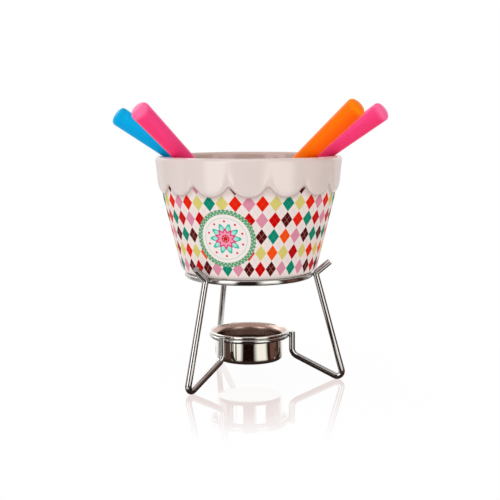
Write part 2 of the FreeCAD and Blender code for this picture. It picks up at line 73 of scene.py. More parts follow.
class Graph:
    """The node tree of a material or world, with short names for the nodes used often."""

    def __init__(self, owner, **settings):
        """The settings go on the shader's own sockets; an underscore stands for a space."""
        owner.use_nodes = True
        self.owner = owner
        self.tree = owner.node_tree
        self.shader = self.tree.nodes.get("Principled BSDF")
        for socket, value in settings.items():
            self.shade(socket.replace("_", " "), value)

    def put(self, socket, value):
        """Link a node's output to a socket, or set the socket's own value."""
        if isinstance(value, bpy.types.NodeSocket):
            self.tree.links.new(value, socket)
        else:
            socket.default_value = value

    def shade(self, socket, value):
        self.put(self.shader.inputs[socket], value)

    def node(self, kind, inputs=(), **properties):
        item = self.tree.nodes.new(f"ShaderNode{kind}")
        for key, value in properties.items():
            setattr(item, key, value)
        for key, value in dict(inputs).items():
            self.put(item.inputs[key], value)
        return item

    def calc(self, operation, *values, clamp=False):
        item = self.node("Math", operation=operation, use_clamp=clamp)
        for socket, value in zip(item.inputs, values):
            self.put(socket, value)
        return item.outputs[0]

    def length(self, x, y):
        """Length of the vector with the parts x and y."""
        squares = [self.calc("POWER", part, 2.0) for part in (x, y)]
        return self.calc("SQRT", self.calc("ADD", *squares))

    def past_whole(self, value):
        """How far a value is past the nearest whole number, from -0.5 to 0.5."""
        return self.calc("SUBTRACT", value, self.calc("ROUND", value))

    def from_whole(self, value):
        """The distance to the nearest whole number, from 0 to 0.5."""
        return self.calc("ABSOLUTE", self.past_whole(value))

    def step(self, value, low, high):
        """0 below low, 1 above high and smooth between them; low may be above high."""
        item = self.node("MapRange", {"Value": value}, interpolation_type="SMOOTHSTEP")
        if low > high:
            low, high = high, low
            item.inputs["To Min"].default_value = 1
            item.inputs["To Max"].default_value = 0
        item.inputs["From Min"].default_value = low
        item.inputs["From Max"].default_value = high
        return item.outputs["Result"]

    def spread(self, value, low, high):
        """A 0 to 1 value taken to the range low to high."""
        item = self.node("MapRange", {"Value": value, "To Min": low, "To Max": high})
        return item.outputs["Result"]

    def mix(self, factor, first, second, kind="MIX"):
        item = self.node("Mix", data_type="RGBA", blend_type=kind)
        for key, value in (("Factor_Float", factor), ("A_Color", first), ("B_Color", second)):
            self.put(next(s for s in item.inputs if s.identifier == key), value)
        return next(s for s in item.outputs if s.identifier == "Result_Color")

    def toned(self, colour, tone):
        """A colour made darker or lighter; a tone of 1 leaves it as it is."""
        grey = self.node("CombineColor", {0: tone, 1: tone, 2: tone}).outputs[0]
        return self.mix(1.0, colour, grey, "MULTIPLY")

    def split(self, vector):
        return self.node("SeparateXYZ", {"Vector": vector}).outputs

    def uv(self, name):
        return self.node("UVMap", uv_map=name).outputs["UV"]

    def place(self):
        return self.node("TexCoord").outputs["Object"]

    def noise(self, scale, detail=2.0, stretch=None):
        """Noise of about scale features a metre, from 0 to 1."""
        where = self.place()
        if stretch:
            where = self.node("Mapping", {"Vector": where, "Scale": stretch}).outputs[0]
        inputs = {"Vector": where, "Scale": scale, "Detail": detail}
        return self.node("TexNoise", inputs).outputs["Fac"]

    def emission(self, colour, strength=1.0):
        return self.node("Emission", {"Color": colour, "Strength": strength}).outputs[0]

    def blend(self, share, first, second):
        """Two shaders mixed, with a share of the second."""
        return self.node("MixShader", {0: share, 1: first, 2: second}).outputs[0]

    def bump(self, height, depth, strength=1.0):
        """Relief from a 0 to 1 height; depth is in metres."""
        inputs = {"Height": height, "Distance": depth, "Strength": strength}
        self.shade("Normal", self.node("Bump", inputs).outputs["Normal"])


# --------------------------------------------------------------------- materials
# The rows of diamonds from the top down. Each row repeats its six colours round the pot.
PRINT_ROWS = [
    "teal pale pink pale brown wine",
    "pink coral lime green lime coral",
    "red pink red brown coral green",
    "green brown green orange pink brown",
    "coral lime orange lime crimson lime",
    "brown red brown pink green pink",
]
ROW_REPEAT = 6
PRINT_INKS = {
    "lime": srgb(212, 200, 112),
    "green": srgb(0, 134, 108),
    "teal": srgb(24, 100, 95),
    "coral": srgb(226, 30, 0),
    "red": srgb(198, 0, 2),
    "crimson": srgb(178, 0, 6),
    "brown": srgb(86, 12, 14),
    "wine": srgb(112, 14, 32),
    "pink": srgb(216, 140, 162),
    "orange": srgb(240, 78, 6),
    "pale": srgb(240, 228, 224),
}
CERAMIC = srgb(224, 210, 205)
# The inside of the pot takes a darker copy of the plain glaze: painted shade, as the inside lies in
# shade.
SHADED_INSIDE_GLAZE = srgb(210, 188, 179)
PRINT_GROUND = srgb(234, 221, 216)
GROUND_STITCH, INK_STITCH = srgb(150, 118, 122), srgb(238, 196, 182)

# The printed band, in diamonds, and the ends of stitches in stitches. A pair of values says
# where an edge starts and ends.
DIAMOND_EDGE, EDGE_WANDER = (0.497, 0.478), 0.022
BAND_START, BAND_EDGE = -0.5, 0.01
STITCH_SIDE, STITCH_END = (0.024, 0.012), (0.33, 0.24)
STITCHES_PER_DIAMOND = 9.0
# How strongly the thread shows on the ground, and on inks from pale to dark by their brightness.
STITCH_ON_GROUND, STITCH_ON_INK, DARK_INK = 0.42, (0.12, 0.55), (0.09, 0.03)

# How far the collar's glaze runs over the print below its edge and how far the painted shadow
# under the collar reaches, in millimetres, and the tone of that painted shadow.
POOL_COVER, COLLAR_SHADOW_REACH, COLLAR_SHADOW_TINT = 0.5, 4.6, srgb(223, 217, 215)

# The round label, in millimetres from its centre. Each layer of the rosette has the radius,
# depth and turn of its petals, and a colour.
BADGE_RADIUS, BADGE_WHITE = 19.7, 16.6
BADGE_GREEN, BADGE_PALE = srgb(98, 156, 116), srgb(238, 227, 224)
LACE_LOOPS, LACE_DEPTH = 44, 0.25
LACE_DOTS, LACE_INK = ((17.35, 0.4, 0.0), (18.75, 0.42, math.pi / 44)), srgb(206, 226, 206)
RING_LINE, RING_LINE_EDGE, RING_INK = 14.2, (0.16, 0.08), srgb(120, 196, 160)
PETALS = 10
BERRY_RING, BERRY_SIZE, BERRY_INK = 11.9, 0.75, srgb(214, 40, 60)
ROSETTE = (
    (8.9, 1.7, 0.0, srgb(60, 186, 164)),
    (7.3, 1.5, 0.0, srgb(158, 224, 210)),
    (6.2, 1.0, math.pi, srgb(222, 70, 120)),
    (4.7, 0.8, math.pi, srgb(240, 148, 176)),
)
HEART_EDGE, HEART_INK = (2.7, 2.55), srgb(206, 24, 40)
SEEDS, SEED_RING, SEED_SIZE, SEED_INK = 7, 1.7, 0.28, srgb(250, 225, 215)
DOT_BLUR, PETAL_BLUR, LACE_BLUR = 0.1, 0.08, 0.06


def diamond_ink(graph, column, row):
    """Colour of the diamond in a column and row of the printed band."""
    place = graph.calc("FLOORED_MODULO", column, float(ROW_REPEAT))
    place = graph.calc("DIVIDE", place, float(ROW_REPEAT))
    place = graph.calc("ADD", place, 0.5 / ROW_REPEAT)
    colour = None
    for number, words in enumerate(PRINT_ROWS):
        ramp = graph.node("ValToRGB", {"Fac": place})
        ramp.color_ramp.interpolation = "CONSTANT"
        stops = ramp.color_ramp.elements
        for index, name in enumerate(words.split()):
            stop = stops[index] if index < 2 else stops.new(index / ROW_REPEAT)
            stop.position = index / ROW_REPEAT
            stop.color = PRINT_INKS[name]
        if colour is None:
            colour = ramp.outputs["Color"]
        else:
            here = graph.calc("COMPARE", row, float(number), 0.5)
            colour = graph.mix(here, colour, ramp.outputs["Color"])
    return colour


def stitching(graph, across, down):
    """Dashed lines through the middles of the diamonds, along both diagonals: 1 on a dash."""
    lines = []
    for first, second in (("ADD", "SUBTRACT"), ("SUBTRACT", "ADD")):
        side = graph.from_whole(graph.calc(first, across, down))
        along = graph.calc("MULTIPLY", graph.calc(second, across, down), STITCHES_PER_DIAMOND)
        on_line = graph.step(side, *STITCH_SIDE)
        on_dash = graph.step(graph.from_whole(along), *STITCH_END)
        lines.append(graph.calc("MULTIPLY", on_line, on_dash))
    return graph.calc("MAXIMUM", *lines)


def printed_band(graph):
    """Harlequin diamonds with thin stitched lines through them, and 1 where the band is. The UV
    map "print" counts columns and rows of diamonds."""
    across, down, _ = graph.split(graph.uv("print"))
    column = graph.calc("ROUND", across)
    row = graph.calc("ROUND", down)
    off_x = graph.calc("ABSOLUTE", graph.calc("SUBTRACT", across, column))
    off_y = graph.calc("ABSOLUTE", graph.calc("SUBTRACT", down, row))
    wander = graph.calc("MULTIPLY", graph.calc("SUBTRACT", graph.noise(2600.0), 0.5), EDGE_WANDER)
    reach = graph.calc("ADD", graph.calc("ADD", off_x, off_y), wander)
    band_end = BAND_START + len(PRINT_ROWS)
    started = graph.step(down, BAND_START, BAND_START + BAND_EDGE)
    not_ended = graph.step(down, band_end, band_end - BAND_EDGE)
    in_band = graph.calc("MULTIPLY", started, not_ended)
    inside = graph.calc("MULTIPLY", graph.step(reach, *DIAMOND_EDGE), in_band)
    mottle = graph.spread(graph.noise(5200.0, 1.0), 0.93, 1.05)
    ink = graph.toned(diamond_ink(graph, column, row), mottle)
    stitched = graph.calc("MULTIPLY", stitching(graph, across, down), in_band)
    ground_share = graph.calc("MULTIPLY", stitched, STITCH_ON_GROUND)
    ground = graph.mix(ground_share, PRINT_GROUND, GROUND_STITCH)
    dark = graph.step(graph.node("RGBToBW", {"Color": ink}).outputs[0], *DARK_INK)
    ink_share = graph.calc("MULTIPLY", stitched, graph.spread(dark, *STITCH_ON_INK))
    return graph.mix(inside, ground, graph.mix(ink_share, ink, INK_STITCH)), in_band


def badge(graph):
    """A round label with a rosette: its colour, and 1 where the label is. The UV map "badge"
    gives millimetres from its centre."""
    x, y, _ = graph.split(graph.uv("badge"))
    reach = graph.length(x, y)
    turn = graph.calc("ARCTAN2", y, x)

    def petals(count, radius, depth, phase, blur):
        """A disc with a wavy edge."""
        angle = graph.calc("ADD", graph.calc("MULTIPLY", turn, float(count)), phase)
        wave = graph.calc("MULTIPLY", graph.calc("COSINE", angle), depth)
        inward = graph.calc("SUBTRACT", graph.calc("ADD", wave, radius), reach)
        return graph.step(inward, -blur, blur)

    def dots(count, ring, size, phase=0.0):
        """Round dots on a circle."""
        pitch = 2 * math.pi / count
        share = graph.calc("DIVIDE", graph.calc("ADD", turn, phase), pitch)
        sideways = graph.calc("MULTIPLY", graph.past_whole(share), pitch * ring)
        outward = graph.calc("SUBTRACT", reach, ring)
        away = graph.length(sideways, outward)
        return graph.step(away, size + DOT_BLUR, size - DOT_BLUR)

    white = graph.step(reach, BADGE_WHITE + DOT_BLUR, BADGE_WHITE - DOT_BLUR)
    off_line = graph.calc("ABSOLUTE", graph.calc("SUBTRACT", reach, RING_LINE))
    layers = [(white, BADGE_PALE)]
    layers += [(dots(LACE_LOOPS, ring, size, phase), LACE_INK) for ring, size, phase in LACE_DOTS]
    layers += [(graph.step(off_line, *RING_LINE_EDGE), RING_INK)]
    layers += [(dots(PETALS, BERRY_RING, BERRY_SIZE, math.pi / PETALS), BERRY_INK)]
    layers += [(petals(PETALS, radius, depth, phase, PETAL_BLUR), ink)
               for radius, depth, phase, ink in ROSETTE]
    layers += [(graph.step(reach, *HEART_EDGE), HEART_INK)]
    layers += [(dots(SEEDS, SEED_RING, SEED_SIZE), SEED_INK)]
    colour = BADGE_GREEN
    for mask, ink in layers:
        colour = graph.mix(mask, colour, ink)
    return colour, petals(LACE_LOOPS, BADGE_RADIUS, LACE_DEPTH, 0.0, LACE_BLUR)


def glaze_tone(graph, colour):
    """A glaze colour with soft clouds in it, and the slight unevenness of the fired surface."""
    tone = graph.spread(graph.noise(45.0, 3.0), 0.965, 1.02)
    fine = graph.calc("MULTIPLY", graph.noise(420.0), 0.06)
    graph.bump(graph.calc("ADD", graph.noise(38.0), fine), 0.0006, 0.22)
    return graph.toned(colour, tone)


def glazed_ceramic(name, colour):
    graph = Graph(new_material(name), Roughness=0.12, IOR=1.5, Coat_Weight=0.25,
                  Coat_Roughness=0.05)
    graph.shade("Base Color", glaze_tone(graph, colour))
    return graph.owner


def under_collar(graph, printed, plain):
    """The print below the collar's scalloped edge: the collar's glaze covers a little of it, and a
    painted shadow of the collar darkens it just below the edge. The UV map "collar" gives the
    millimetres inside that edge."""
    inward = graph.split(graph.uv("collar"))[0]
    covered = graph.step(inward, -POOL_COVER - 0.2, -POOL_COVER + 0.1)
    # Painted shadow under the collar, darkest at its edge.
    collar_shadow = graph.step(inward, -COLLAR_SHADOW_REACH, -0.3)
    return graph.mix(collar_shadow, graph.mix(covered, printed, plain), COLLAR_SHADOW_TINT, "MULTIPLY")


def printed_ceramic():
    """Glaze over the printed band and the round label, less glossy than the plain glaze."""
    graph = Graph(new_material("printed_ceramic"), Roughness=0.35, Specular_IOR_Level=0.03)
    body = glaze_tone(graph, CERAMIC)
    band, in_band = printed_band(graph)
    colour = under_collar(graph, graph.mix(in_band, body, band), body)
    label, mask = badge(graph)
    graph.shade("Base Color", graph.mix(mask, colour, label))
    return graph.owner


def bare_clay():
    """The unglazed foot ring."""
    graph = Graph(new_material("bare_clay"), Roughness=0.85)
    speck = graph.step(graph.noise(1800.0, 1.0), 0.6, 0.72)
    graph.shade("Base Color", graph.mix(speck, srgb(226, 216, 204), srgb(196, 180, 162)))
    graph.bump(graph.noise(2400.0, 3.0), 0.0002)
    return graph.owner


def polished_metal(name, colour, roughness, grain, waviness=0.0):
    """Plated or polished steel with slight unevenness; grain stretches fine scratches."""
    graph = Graph(new_material(name), Base_Color=colour, Metallic=1.0)
    cloud = graph.calc("MULTIPLY", graph.noise(70.0, 3.0), 0.5)
    scratches = graph.noise(900.0, stretch=grain)
    uneven = graph.calc("ADD", cloud, graph.calc("MULTIPLY", scratches, 0.5))
    graph.shade("Roughness", graph.spread(uneven, roughness * 0.6, roughness * 1.5))
    height = graph.calc("MULTIPLY", scratches, 0.05)
    if waviness:
        waves = graph.calc("MULTIPLY", graph.noise(60.0, 1.0), waviness)
        height = graph.calc("ADD", height, waves)
    graph.bump(height, 0.0005, 0.3)
    return graph


def satin_steel():
    """The brushed inside of the burner cup, with painted shade that turns it brown below its flared
    edge.
    """
    graph = polished_metal("satin_steel", srgb(222, 192, 182), 0.3, (1.0, 1.0, 0.2))
    height = graph.split(graph.uv("turn"))[1]
    # Painted shade: the inside darkens to brown from just under the flared edge downwards.
    lit_above, shaded_below = CUP_HIGH.z - 2.0, CUP_HIGH.z - 5.5
    cloud = graph.spread(graph.noise(240.0, 3.0), 0.8, 1.0)
    painted_cup_shade = graph.calc("MULTIPLY", graph.step(height, lit_above, shaded_below), cloud)
    graph.shade("Base Color", graph.mix(painted_cup_shade, srgb(214, 186, 176), srgb(106, 84, 76)))
    return graph.owner


def moulded_plastic(name, colour, shade, tip, gloss):
    """Satin plastic with painted shade, a little deeper in colour where it faces down, and painted
    light or shade on its rounded end, with a parting line along two sides. The UV map "turn" gives
    the share of a turn and the millimetres along the piece."""
    graph = Graph(new_material(name), Roughness=0.34, Specular_IOR_Level=gloss)
    around, along, _ = graph.split(graph.uv("turn"))
    up = graph.split(graph.node("NewGeometry").outputs["Normal"])[2]
    # Painted shade: a deeper colour where the surface faces down.
    under = graph.step(up, 0.2, -0.9)
    flow = graph.spread(graph.noise(35.0, 1.0), 0.0, 0.1)
    body = graph.mix(graph.calc("ADD", under, flow, clamp=True), colour, shade)
    dome = HANDLE_END - HANDLE_DOME
    # Painted highlight on the rounded end of the pink and orange handles, painted shade on the blue.
    end_light_and_shade = graph.step(along, dome - 2.0, dome + 2.2)
    graph.shade("Base Color", graph.mix(end_light_and_shade, body, tip))
    seam = graph.from_whole(graph.calc("MULTIPLY", around, 2.0))
    ridge = graph.calc("MULTIPLY", graph.step(seam, 0.01, 0.002), 0.03)
    graph.bump(graph.calc("ADD", ridge, graph.calc("MULTIPLY", flow, 0.3)), 0.0005, 0.3)
    return graph.owner


def foil():
    graph = Graph(new_material("foil"), Base_Color=srgb(214, 214, 216), Metallic=1.0)
    crumple = graph.noise(420.0, 3.0)
    graph.shade("Roughness", graph.spread(crumple, 0.18, 0.42))
    graph.bump(crumple, 0.0004, 0.4)
    return graph.owner


def wax():
    graph = Graph(new_material("wax"), Roughness=0.42, IOR=1.44, Subsurface_Weight=0.35,
                  Subsurface_Radius=(1.0, 0.9, 0.7), Subsurface_Scale=0.003)
    cloud = graph.noise(160.0, 3.0)
    graph.shade("Base Color", graph.mix(cloud, srgb(244, 240, 230), srgb(232, 226, 212)))
    graph.bump(graph.noise(300.0, 3.0), 0.0003, 0.4)
    return graph.owner


def braid():
    """Waxed cotton: fine slanting strands."""
    graph = Graph(new_material("wick_braid"), Roughness=0.8)
    inputs = {"Scale": 700.0, "Distortion": 1.5, "Vector": graph.place()}
    strand = graph.node("TexWave", inputs, bands_direction="DIAGONAL").outputs["Fac"]
    graph.shade("Base Color", graph.mix(strand, srgb(206, 196, 172), srgb(240, 234, 218)))
    graph.bump(strand, 0.0002)
    return graph.owner


# ------------------------------------------------------------------------ meshes
def new_object(name, vertices, faces, material, body):
    """A smooth mesh object that rides on a body. Vertices are in millimetres."""
    mesh = bpy.data.meshes.new(name)
    mesh.from_pydata([Vector(v) * MM for v in vertices], [], faces)
    mesh.polygons.foreach_set("use_smooth", [True] * len(mesh.polygons))
    mesh.validate()
    piece = bpy.data.objects.new(name, mesh)
    bpy.context.scene.collection.objects.link(piece)
    mesh.materials.append(material)
    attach(piece, body)
    return piece


def arc(centre, radius, start, end, count):
    """Points (radius, height) on an arc between two angles, ends included."""
    steps = [math.radians(start + (end - start) * i / count) for i in range(count + 1)]
    return [(centre[0] + radius * math.cos(a), centre[1] + radius * math.sin(a)) for a in steps]


def straight(start, end, count):
    """Points between start and end, without them."""
    shares = [i / count for i in range(1, count)]
    return [tuple(a + (b - a) * share for a, b in zip(start, end)) for share in shares]


def ring_faces(rings, sides):
    """Quads between consecutive closed rings of vertices, each of the same number of sides."""
    faces = []
    for ring in range(rings - 1):
        for side in range(sides):
            following = (side + 1) % sides
            low, high = ring * sides, (ring + 1) * sides
            faces.append((low + side, low + following, high + following, high + side))
    return faces


def end_faces(vertices, sides):
    """Flat faces over the first and the last ring of vertices."""
    return [tuple(range(sides))[::-1], tuple(range(len(vertices) - sides, len(vertices)))]


def lathe(name, profile, material, body, sides=128, place=None):
    """A turned piece. The profile runs over its surface, from the axis below to the axis above.
    Its UV map "turn" holds the share of a turn and the height."""
    place = place or Matrix.Identity(4)
    rings = profile[1:-1]
    vertices = []
    for radius, height in rings:
        for side in range(sides):
            angle = 2 * math.pi * side / sides
            vertices.append((radius * math.cos(angle), radius * math.sin(angle), height))
    faces = ring_faces(len(rings), sides)
    for ring, (_, height) in ((0, profile[0]), (len(rings) - 1, profile[-1])):
        vertices.append((0, 0, height))
        for side in range(sides):
            pair = (ring * sides + side, ring * sides + (side + 1) % sides)
            faces.append((*(pair if ring else pair[::-1]), len(vertices) - 1))
    piece = new_object(name, vertices, faces, material, body)
    turn = piece.data.uv_layers.new(name="turn")
    for face in piece.data.polygons:
        seam = any(i % sides == sides - 1 for i in face.vertices if i < sides * len(rings))
        for loop in face.loop_indices:
            index = piece.data.loops[loop].vertex_index
            share = (index % sides) / sides
            turn.data[loop].uv = (share + (1 if seam and share == 0 else 0), vertices[index][2])
    piece.data.transform(Matrix.Translation(place.translation * MM) @ place.to_3x3().to_4x4())
    return piece


# --------------------------------------------------------------------------- pot
POT_LOW, POT_HIGH = corners("pot")
POT_BASE, POT_LIP = POT_LOW.z, POT_HIGH.z
RIM_RADIUS = 64.2
SHOULDER_RADIUS, SHOULDER_HEIGHT, SHOULDER_EASE = 59.1, POT_BASE + 52.5, 2.0
BASE_RADIUS = 46.2
FOOT_ROUND, LIP_ROUND, FLOOR_ROUND = 5.2, 2.8, 6.0
WALL, FLOOR_THICKNESS, FLOOR_CROWN = 4.5, 5.0, 0.5
RECESS_RADIUS, RECESS_DEPTH, RECESS_ROUND = 36.0, 1.2, 0.8
FOOT_EDGE_ROUND, CLAY_HEIGHT = 0.5, 0.35
NEAR_AXIS = 0.01
RELIEF = 1.5
SCALLOPS = 15
SCALLOP_LAP = 0.165
COLLAR_LOW = POT_LIP - 24.5
SCALLOP_PITCH = 360 / SCALLOPS
SCALLOP_RADIUS = RIM_RADIUS * math.sin(math.radians(SCALLOP_PITCH / 2)) + SCALLOP_LAP
SCALLOP_LINE = COLLAR_LOW + SCALLOP_RADIUS
COLLAR_RADIUS = SHOULDER_RADIUS + 3.2
HALF_PITCH = COLLAR_RADIUS * math.radians(SCALLOP_PITCH / 2)
EDGE_ROUND = 1.9
CUSP_FILL = 4.6
PETAL_SWELL, SWELL_FADE, GROOVE_WIDTH = 0.5, 6.5, 2.2

# Rows and columns of the pot's mesh. EDGE_ROWS gives the rows that follow the scalloped edge, in
# millimetres above it.
FOOT_ROWS, WALL_ROWS, COLLAR_ROWS, LIP_ROWS, INSIDE_ROWS, CORNER_ROWS = 12, 16, 9, 9, 14, 8
EDGE_ROWS = (-0.7, -0.35, -0.12, 0.0, 0.05, 0.14, 0.28, 0.48, 0.75, 1.1, 1.6, 2.3, 3.2, 4.4)
BELOW_EDGE = 1.2
COLUMNS_PER_SCALLOP, COLUMN_CROWDING = 40, 72

# PRINT_ROW_ONE is the height of the middle of row 1. Row 0 is partly under the collar.
PRINT_COLUMNS, PRINT_PITCH, PRINT_ROW_ONE = 42, 10.87, 126.25
PRINT_START = 270.0
# BADGE_STRETCH is the length along the sloped wall for each millimetre of height.
BADGE_AZIMUTH, BADGE_HEIGHT, BADGE_STRETCH = 253.4, 103.3, 1.03
# Places on the UV maps that lie outside the printed band and the label.
OFF_PRINT, OFF_BADGE = (0.0, -9.0), (99.0, 99.0)


def wall_radius(height):
    """Outer radius of the pot under its collar, with the shoulder eased over a few millimetres."""
    lower = (SHOULDER_RADIUS - BASE_RADIUS) / (SHOULDER_HEIGHT - POT_BASE)
    upper = (RIM_RADIUS - RELIEF - SHOULDER_RADIUS) / (POT_LIP - SHOULDER_HEIGHT)
    rise = height - SHOULDER_HEIGHT
    bent = (rise + math.sqrt(rise * rise + SHOULDER_EASE * SHOULDER_EASE)) / 2
    return SHOULDER_RADIUS + lower * rise + (upper - lower) * bent


def scallop_offset(azimuth):
    """Degrees from the middle of the nearest scallop."""
    return (azimuth - 270 + SCALLOP_PITCH / 2) % SCALLOP_PITCH - SCALLOP_PITCH / 2


def collar_depth(azimuth, height):
    """Distance inside the scalloped edge, in millimetres; negative below it. Each scallop ends
    in a circle, and glaze fills the points between the circles."""
    share = abs(scallop_offset(azimuth)) / (SCALLOP_PITCH / 2)
    drop = max(SCALLOP_LINE - height, 0)
    own = SCALLOP_RADIUS - math.hypot(share * HALF_PITCH, drop)
    following = SCALLOP_RADIUS - math.hypot((2 - share) * HALF_PITCH, drop)
    return own + max(CUSP_FILL - (own - following), 0) ** 2 / (4 * CUSP_FILL)


def edge_height(azimuth):
    """Height of the scalloped edge, where the collar's depth is nought."""
    low, high = COLLAR_LOW - 1, SCALLOP_LINE
    for _ in range(30):
        middle = (low + high) / 2
        if collar_depth(azimuth, middle) < 0:
            low = middle
        else:
            high = middle
    return low


def collar_relief(azimuth, height):
    """How far the collar stands out of the wall: a rounded edge, and petals that swell a little
    in their lower half with soft grooves between them."""
    depth = collar_depth(azimuth, height)
    share = min(max(depth / EDGE_ROUND, 0), 1)
    stand = RELIEF * math.sqrt(1 - (1 - share) ** 2)
    to_groove = HALF_PITCH - abs(scallop_offset(azimuth)) / (SCALLOP_PITCH / 2) * HALF_PITCH
    crown = 1 - math.exp(-(to_groove / GROOVE_WIDTH) ** 2)
    fade = math.exp(-(max(height - SCALLOP_LINE + HALF_PITCH / 2, 0) / SWELL_FADE) ** 2)
    return stand + PETAL_SWELL * crown * fade * share


def pot_underside():
    """Profile of the pot from the middle of its underside to the top of its rounded foot."""
    lean = math.degrees(math.atan2(SHOULDER_RADIUS - BASE_RADIUS, SHOULDER_HEIGHT - POT_BASE))
    slope = math.tan(math.radians(lean))
    foot_r = BASE_RADIUS + slope * FOOT_ROUND - FOOT_ROUND / math.cos(math.radians(lean))
    hollow = POT_BASE + RECESS_DEPTH
    points = [(NEAR_AXIS, hollow), (RECESS_RADIUS * 0.5, hollow)]
    points += arc((RECESS_RADIUS - RECESS_ROUND, hollow - RECESS_ROUND), RECESS_ROUND, 90, 0, 4)
    edge = (RECESS_RADIUS + FOOT_EDGE_ROUND, POT_BASE + FOOT_EDGE_ROUND)
    points += arc(edge, FOOT_EDGE_ROUND, 180, 270, 3)
    points += arc((foot_r, POT_BASE + FOOT_ROUND), FOOT_ROUND, -90, -lean, FOOT_ROWS)
    return points


def pot_inside(lip_z):
    """Profile of the pot over its lip and down inside to the middle of its floor."""
    lean = math.degrees(math.atan2(RIM_RADIUS - RELIEF - SHOULDER_RADIUS, POT_LIP - SHOULDER_HEIGHT))
    outer = wall_radius(lip_z) + RELIEF
    inner = outer - RELIEF - WALL
    points = arc((outer - LIP_ROUND, lip_z), LIP_ROUND, 8, 90, LIP_ROWS)
    points += arc((inner + LIP_ROUND, lip_z), LIP_ROUND, 92, 180 - lean, LIP_ROWS)
    floor_z = POT_BASE + FLOOR_THICKNESS
    for number in range(1, INSIDE_ROWS + 1):
        height = lip_z + (floor_z + FLOOR_ROUND - lip_z) * number / INSIDE_ROWS
        points.append((wall_radius(height) - WALL, height))
    floor_r = points[-1][0] - FLOOR_ROUND
    points += arc((floor_r, floor_z + FLOOR_ROUND), FLOOR_ROUND, -8, -90, CORNER_ROWS)
    for share in (0.8, 0.6, 0.4, 0.2, 0.0002):
        points.append((floor_r * share, floor_z + FLOOR_CROWN * (1 - share * share)))
    return points


def pot_rows():
    """Rows of the pot's surface from under its middle, up outside, over the lip and down inside,
    each a function of azimuth that gives radius and height. Then three rings of faces: the first
    that is printed, the first above the print and the first inside the pot."""
    def on_wall(height_at):
        def point(azimuth):
            height = height_at(azimuth)
            return wall_radius(height) + collar_relief(azimuth, height), height
        return point

    def climb(start, end, count):
        """Rows on the wall between two heights that depend on the azimuth, without the first."""
        return [on_wall(lambda a, share=number / count: start(a) + (end(a) - start(a)) * share)
                for number in range(1, count + 1)]

    underside = pot_underside()
    foot_top = underside[-1][1]
    lip_z = POT_LIP - LIP_ROUND
    rows = [lambda azimuth, point=point: point for point in underside]
    rows += climb(lambda a: foot_top, lambda a: edge_height(a) - BELOW_EDGE, WALL_ROWS)
    rows += [on_wall(lambda a, over=over: edge_height(a) + over) for over in EDGE_ROWS]
    rows += climb(lambda a: edge_height(a) + EDGE_ROWS[-1], lambda a: lip_z, COLLAR_ROWS)
    first_print = len(underside) - FOOT_ROWS // 2 - 1
    above_print = len(underside) + WALL_ROWS + EDGE_ROWS.index(0.0) + 1
    first_inside = len(rows) + LIP_ROWS
    rows += [lambda azimuth, point=point: point for point in pot_inside(lip_z)]
    return rows, first_print, above_print, first_inside


def pot_azimuths():
    """Columns of the pot's mesh, closer together beside the points between scallops."""
    steep = math.radians(COLUMN_CROWDING)
    columns = []
    for scallop in range(SCALLOPS):
        for number in range(COLUMNS_PER_SCALLOP):
            angle = steep * (2 * number / COLUMNS_PER_SCALLOP - 1)
            offset = math.sin(angle) / math.sin(steep) * SCALLOP_PITCH / 2
            columns.append(90 + (scallop + 0.5) * SCALLOP_PITCH + offset)
    return columns


def map_pot(piece, places, sides, printed_rings):
    """Fill the UV maps that the printed glaze reads."""
    prints = piece.data.uv_layers.new(name="print")
    badges = piece.data.uv_layers.new(name="badge")
    collars = piece.data.uv_layers.new(name="collar")
    for number, face in enumerate(piece.data.polygons):
        ring, side = divmod(number, sides)
        printed = ring in printed_rings
        for loop in face.loop_indices:
            index = piece.data.loops[loop].vertex_index
            azimuth, radius, height = places[index]
            if side == sides - 1 and index % sides == 0:
                azimuth += 360
            across = (azimuth - PRINT_START) / 360 * PRINT_COLUMNS
            down = (PRINT_ROW_ONE - height) / PRINT_PITCH + 1
            prints.data[loop].uv = (across, down) if printed else OFF_PRINT
            turned = math.radians((azimuth - BADGE_AZIMUTH + 180) % 360 - 180)
            on_badge = (turned * radius, (height - BADGE_HEIGHT) * BADGE_STRETCH)
            badges.data[loop].uv = on_badge if printed else OFF_BADGE
            collars.data[loop].uv = (collar_depth(azimuth, height), 0.0)


def make_pot(glaze, printed_glaze, shaded_inside_glaze, clay):
    rows, first_print, above_print, first_inside = pot_rows()
    azimuths = pot_azimuths()
    sides = len(azimuths)
    vertices, places = [], []
    for row in rows:
        for azimuth in azimuths:
            radius, height = row(azimuth)
            turn = math.radians(azimuth)
            vertices.append((radius * math.cos(turn), radius * math.sin(turn), height))
            places.append((azimuth, radius, height))
    faces = ring_faces(len(rows), sides) + end_faces(vertices, sides)
    piece = new_object("pot_glazed", vertices, faces, glaze, "pot")
    for material in (printed_glaze, shaded_inside_glaze, clay):
        piece.data.materials.append(material)
    printed_rings = range(first_print, above_print)
    map_pot(piece, places, sides, printed_rings)
    for number, face in enumerate(piece.data.polygons):
        ring = number // sides
        top = max(places[i][2] for i in face.vertices)
        nearest = min(places[i][1] for i in face.vertices)
        if ring in printed_rings:
            face.material_index = 1
        elif ring >= first_inside:
            face.material_index = 2
        elif top < POT_BASE + CLAY_HEIGHT and nearest > RECESS_RADIUS:
            face.material_index = 3
    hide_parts("pot")


# ------------------------------------------------------------------- burner cup
CUP_LOW, CUP_HIGH = corners("burner_cup")
CUP_RADIUS, CUP_SHEET, CUP_ROUND = 23.4, 0.8, 2.6
BEAD_RADIUS, BEAD_TUCK, FLARE_ANGLE = 0.8, 0.12, 33.0
BEAD_FROM, BEAD_TO = -78, 150 + FLARE_ANGLE / 2
NECK_RISE, NECK_BEND, NECK_LEDGE, NECK_EASE = 17.0, 1.2, 0.6, 1.4
PRESSED_RADIUS, PRESSED_RISE = 9, 0.3
CUP_SIDES = 192


